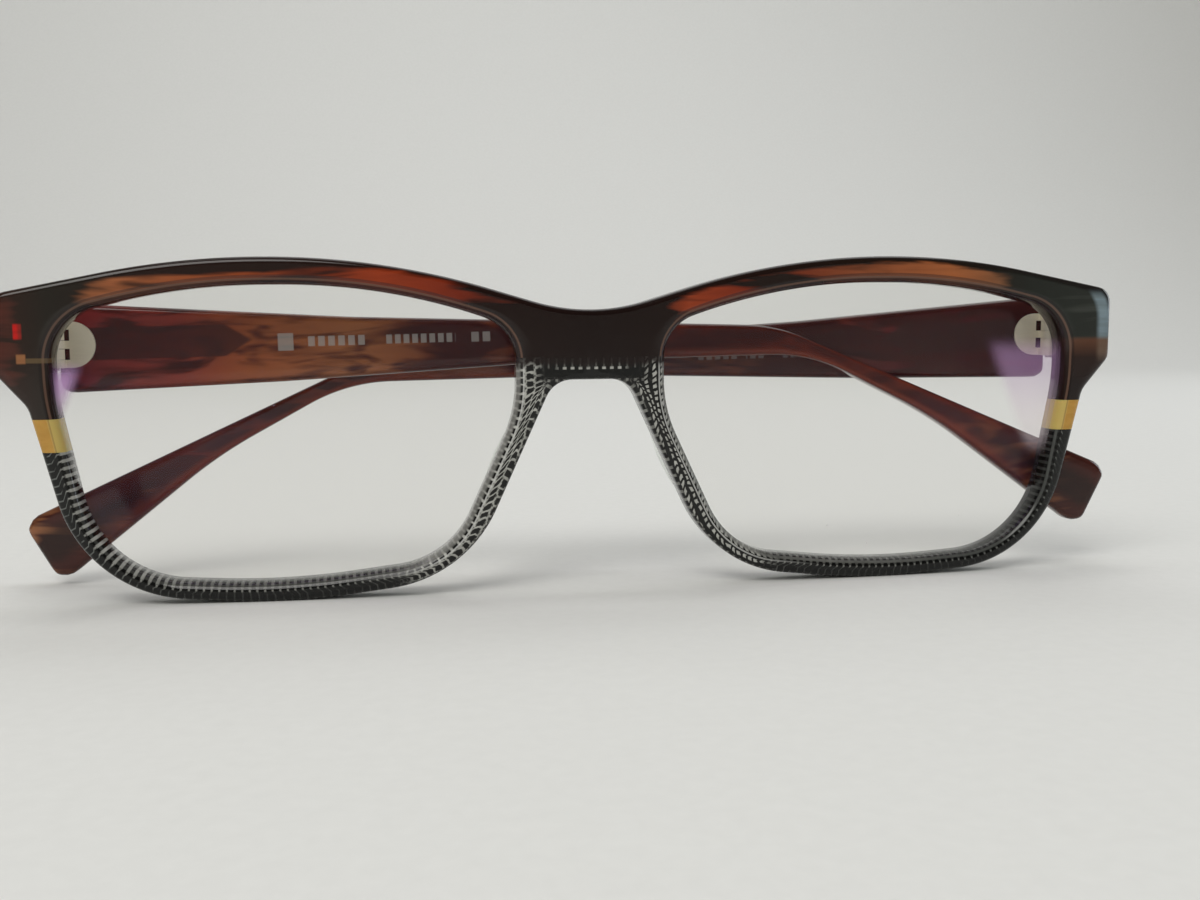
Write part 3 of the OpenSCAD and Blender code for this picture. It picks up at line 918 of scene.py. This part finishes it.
def arm_material(side):
    """Tortoise arm: maroon over the metal core, amber blotches beyond it, and red edges where
    light gets in, darker to the tip."""
    s = Shade("arm_tortoise_" + side, **polish)
    point = s.place()
    along_arm, height, depth = s.split(s.place(name="arm"))
    low, high, _ = s.split(s.place(name="edges"))
    shift = 2.0 if side == "left" else 63.0
    flow = s.place((0.075, 0.3, 0.3), "arm")
    cloud = s.noise(flow, 1.0, detail=2.0, distortion=1.6, offset=(shift, 4.0, 0.0))
    fine = s.noise(s.place((0.16, 1.2, 0.5), "arm"), 1.0, detail=3.0, distortion=0.7,
                   offset=(shift, 5.0, 1.0))
    flame = s.ramp_mm(along_arm, arm_flames[side])
    spread = s.ramp_mm(along_arm, arm_spread[side])
    level = s.nudge(s.nudge(cloud, fine, 0.22), spread, 0.5)
    mask = s.step(level, 0.44, 0.68)
    ground = s.mix(fine, (0.034, 0.009, 0.007), (0.078, 0.018, 0.013))
    colour = s.mix(mask, ground, s.mix(fine, s.mix(0.4, flame, ground), flame))
    rim_dist = s.math("MINIMUM", low, high)
    below = s.flip(s.step(low, 0.6, 2.0))
    above = s.times(s.flip(s.step(high, 0.5, 1.5)), 0.5)
    glow = s.math("MAXIMUM", below, above)
    body = s.times(s.step(along_arm, 50.0, 92.0), s.flip(s.step(along_arm, 112.0, 124.0)))
    colour = s.mix(s.times(glow, body, 0.75), colour, (0.2, 0.035, 0.014))
    core_dark = s.times(s.step(along_arm, 112.0, 121.0), s.step(rim_dist, 1.2, 3.2), 0.75)
    colour = s.mix(core_dark, colour, (0.018, 0.009, 0.007))
    colour = s.mix(s.times(s.flip(s.step(rim_dist, 0.2, 0.7)), 0.5), colour, (0.05, 0.014, 0.01))
    inner = s.flip(s.step(depth, 1.6, 2.2))
    core = s.times(core_mask(s, along_arm, height), inner)
    colour = s.mix(s.times(core, 0.82), colour, (0.05, 0.017, 0.014))
    strength = 0.62 if side == "left" else 0.3
    printed = s.times(generic_marks(s, along_arm, height, side), inner, strength)
    colour = s.mix(printed, colour, print_grey)
    s.base(colour)
    s.rough(0.08, 0.18, point, 0.3)
    s.bump(s.noise(point, 0.3), 0.04, 0.0002)
    return s.material


def core_mask(s, along_arm, height):
    """The metal core blade, seen dimly through the inner face, with its pointed end."""
    tip = s.math("SUBTRACT", 22.5, s.times(s.math("ABSOLUTE", height), 1.6))
    past = s.step(s.math("SUBTRACT", along_arm, tip), -0.4, 0.4)
    return s.times(s.band(height, -1.85, 1.85, 0.15), s.flip(past))


def generic_marks(s, along_arm, height, side):
    """Plain printed dashes without any lettering, in runs of (start, end, half height, pitch)."""
    if side == "left":
        runs = [(25.6, 27.4, 1.0, 9.0), (29.2, 36.2, 0.55, 1.2), (38.6, 47.0, 0.5, 1.05),
                (49.0, 51.4, 0.55, 1.4)]
        centre = -0.4
    else:
        runs = [(31.0, 36.0, 0.5, 1.1), (38.6, 40.9, 0.5, 1.1), (42.2, 47.4, 0.5, 1.1)]
        centre = -1.6
    total = None
    for start, end, half, pitch in runs:
        cell = s.math("FRACT", s.math("DIVIDE", s.math("SUBTRACT", along_arm, start), pitch))
        bar = s.times(s.band(along_arm, start, end, 0.08), s.band(cell, 0.0, 0.62, 0.08),
                      s.band(height, centre - half, centre + half, 0.1))
        total = bar if total is None else s.math("MAXIMUM", total, bar)
    return total


def clear_material():
    """Clear acetate, very slightly green and uneven."""
    s = Shade("clear_acetate", Transmission_Weight=0.92, IOR=1.47)
    point = s.place()
    s.base(s.mix(s.noise(point, 0.4), (0.9, 0.94, 0.9), (0.98, 0.99, 0.97)))
    s.rough(0.02, 0.09, point, 0.6)
    s.bump(s.noise(point, 0.5), 0.04, 0.0001)
    return s.material


def lens_material():
    """A clear coated lens: a faint violet reflection that grows as the surface turns away, a
    painted violet reflection towards the outer side and a few specks of dust."""
    s = Shade("coated_lens")
    tree, nodes = s.tree, s.tree.nodes
    output = nodes["Material Output"]
    nodes.remove(s.shader)
    point = s.place()
    x, _, z = s.split(point)
    clear = s.add("BsdfTransparent")
    clear.inputs["Color"].default_value = (0.975, 0.975, 0.965, 1)
    # A diffuse film that paints the violet reflection beside the outer edges, and the dust specks
    dust_and_painted_reflection = s.add("BsdfDiffuse")
    rose_to_violet = s.mix(s.step(z, 18.0, 27.0), reflection_and_dust_rose, reflection_and_dust_violet)
    s.plug(dust_and_painted_reflection.inputs["Color"], rose_to_violet)
    shine = s.add("BsdfGlossy")
    tints = s.mix(s.noise(point, 0.05), (0.75, 0.5, 0.95), (0.6, 0.42, 1.0))
    s.plug(shine.inputs["Color"], tints)
    shine.inputs["Roughness"].default_value = 0.03
    facing = s.add("LayerWeight").outputs["Facing"]
    reflect = s.math("ADD", 0.008, s.times(s.math("POWER", facing, 5.0), 0.5))
    dust_and_reflection_share = s.math("MAXIMUM", painted_outer_reflection(s, x, z), dust(s, point))
    first = mix_shaders(s, dust_and_reflection_share, clear, dust_and_painted_reflection)
    second = mix_shaders(s, reflect, first, shine)
    tree.links.new(second.outputs[0], output.inputs["Surface"])
    return s.material


def mix_shaders(s, share, first, second):
    """The first shader, with the given share of the second."""
    both = s.add("MixShader")
    s.plug(both.inputs[0], share)
    s.tree.links.new(first.outputs[0], both.inputs[1])
    s.tree.links.new(second.outputs[0], both.inputs[2])
    return both


def painted_outer_reflection(s, x, z):
    """A slanted wedge of painted violet reflection beside the outer edge of each lens, narrower
    but brighter on the left."""
    left = s.flip(s.step(x, -1.0, 1.0))
    slant = s.math("ADD", s.math("ABSOLUTE", x), s.times(z, 0.42))
    slant = s.math("SUBTRACT", slant, s.times(left, 6.6))
    height = s.math("ADD", z, s.times(left, 1.7))
    wedge = s.times(s.step(slant, 63.4, 65.6), s.band(height, 17.5, 27.5, 3.0))
    return s.times(wedge, s.math("ADD", 0.2, s.times(left, 0.45)))


def dust(s, point):
    """A few small pale specks."""
    cells = s.add("TexVoronoi")
    s.plug(cells.inputs["Vector"], point)
    cells.inputs["Scale"].default_value = 0.22
    speck = s.flip(s.step(cells.outputs["Distance"], 0.014, 0.024))
    chosen = s.step(s.split(cells.outputs["Color"])[0], 0.55, 0.6)
    return s.times(speck, chosen, 0.5)


def metal_material(name, colour, low, high, grain):
    """Satin metal with fine machining lines."""
    s = Shade(name, Metallic=0.2)
    point = s.place(grain)
    lines = s.noise(point, 1.0, detail=4.0)
    s.base(s.mix(lines, [c * 0.82 for c in colour], colour))
    s.rough(low, high, point, 1.0)
    s.bump(lines, 0.15, 0.00004)
    return s.material


# ---------------------------------------------------------------- CAD nodes that stay

def dress_metal():
    """Hinge leaves, screws and core blades keep their CAD shape, with broken edges."""
    satin = metal_material("nickel_silver", (1.0, 0.93, 0.76), 0.3, 0.45, (0.6, 0.6, 9))
    screw = metal_material("screw_steel", (0.72, 0.72, 0.7), 0.2, 0.35, (4, 4, 4))
    wire = metal_material("core_wire", (0.6, 0.56, 0.5), 0.35, 0.5, (0.5, 5, 5))
    for side in ("left", "right"):
        for node, material, width in (("front_hinge_", satin, 0.08), ("arm_hinge_", satin, 0.08),
                                      ("hinge_screw_", screw, 0.06), ("arm_core_", wire, 0.1)):
            obj = frame["nodes"][node + side]
            obj.data.materials.clear()
            obj.data.materials.append(material)
            bevel = obj.modifiers.new("edges", "BEVEL")
            bevel.width = width * MM
            bevel.segments = 2
            bevel.limit_method = "ANGLE"
            bevel.angle_limit = math.radians(40)


# ---------------------------------------------------------------- the stage

surround = (0.43, 0.43, 0.41, 1)                # the studio's light from all round
surround_mirrored = (0.05, 0.052, 0.055, 1)     # the same where it is only mirrored
camera_place = (-22.36, front_y - 147.9, 32.7)
camera_ahead = (0.1542, 0.9827, -0.1029)
camera_roll = -0.48                             # degrees


def sweep_curve(reach, radius, steps=12):
    """The quarter circle that takes the floor up to a wall at the given reach."""
    curve = []
    for k in range(steps + 1):
        a = math.pi / 2 * k / steps
        curve.append((reach - radius + radius * math.sin(a), radius - radius * math.cos(a)))
    return curve


def sweep_backdrop():
    """A pale floor that curves up into a wall behind, and into another far in front."""
    width, height = 9.0, 2.0
    back, front = sweep_curve(0.9, 0.35), sweep_curve(2.4, 0.8)
    profile = [(-y, z) for y, z in reversed(front)] + [(-0.4, 0.0), (0.0, 0.0)] + back
    profile.append((back[-1][0], height))
    mesh = bpy.data.meshes.new("backdrop")
    verts = [(x, y, z) for y, z in profile for x in (-width, -width / 3, width / 3, width)]
    mesh.from_pydata(verts, [], grid_faces(len(profile), 4, wrap_cols=False))
    mesh.shade_smooth()
    obj = add_object("backdrop", mesh)
    s = Shade("paper", Roughness=0.75)
    fibre = s.noise(s.place((0.6, 0.6, 0.6)), 1.0, detail=5.0)
    s.base(s.mix(fibre, (0.70, 0.70, 0.685), (0.75, 0.75, 0.735)))
    s.bump(fibre, 0.08, 0.0002)
    mesh.materials.append(s.material)


def soft_light(name, place, aim, size, power, colour=(1, 1, 1)):
    """A broad lamp at place, turned to aim."""
    data = bpy.data.lights.new(name, "AREA")
    data.shape = "RECTANGLE"
    data.size, data.size_y = size
    data.energy = power
    data.color = colour
    obj = add_object(name, data)
    obj.location = place
    obj.rotation_mode = "QUATERNION"
    obj.rotation_quaternion = (Vector(aim) - Vector(place)).to_track_quat("-Z", "Y")


def set_lights():
    """Three lamps aimed at the glasses, one at the wall behind, and the world."""
    centre = (0, 0, 0.02)
    soft_light("key", (-0.3, -0.45, 0.65), centre, (0.5, 0.4), 3.0, (1.0, 0.985, 0.95))
    soft_light("side", (0.8, 0.12, 0.25), centre, (0.3, 0.45), 1.6, (0.86, 0.93, 1.0))
    soft_light("back", (0.15, 0.5, 0.75), centre, (0.7, 0.4), 1.3)
    soft_light("wall", (0.1, 0.15, 0.9), (0.1, 0.9, 0.3), (0.9, 0.3), 1.8)
    set_world()


def set_world():
    """Pale all round, and dimmer where it is only mirrored, as by a dark camera side."""
    world = bpy.data.worlds.new("studio")
    world.use_nodes = True
    nodes, links = world.node_tree.nodes, world.node_tree.links
    sky = nodes["Background"]
    path = nodes.new("ShaderNodeLightPath")
    tone = nodes.new("ShaderNodeMix")
    tone.data_type = "RGBA"
    tone.inputs["A"].default_value = surround
    tone.inputs["B"].default_value = surround_mirrored
    links.new(path.outputs["Is Glossy Ray"], tone.inputs["Factor"])
    links.new(tone.outputs["Result"], sky.inputs["Color"])
    bpy.context.scene.world = world
    bpy.context.scene.view_settings.view_transform = "Standard"


def set_camera():
    """The photograph's viewing angle: a wide lens close to the glasses, left of the middle and
    looking a little down and to the right."""
    data = bpy.data.cameras.new("camera")
    data.sensor_width = 36.0
    data.lens = 37.5
    data.clip_start, data.clip_end = 0.01, 10.0
    cam = add_object("camera", data)
    cam.location = Vector(camera_place) * MM
    ahead = Vector(camera_ahead).normalized()
    roll = Matrix.Rotation(math.radians(camera_roll), 3, "Z").to_quaternion()
    cam.rotation_mode = "QUATERNION"
    cam.rotation_quaternion = ahead.to_track_quat("-Z", "Y") @ roll
    bpy.context.scene.camera = cam


# ---------------------------------------------------------------- everything

set_camera()
set_lights()
sweep_backdrop()
build_front()
lens_glass, pad_clear = lens_material(), clear_material()
for side in ("left", "right"):
    build_lens(side, lens_glass)
    build_pad(side, pad_clear)
    build_arm(side, arm_material(side))
dress_metal()
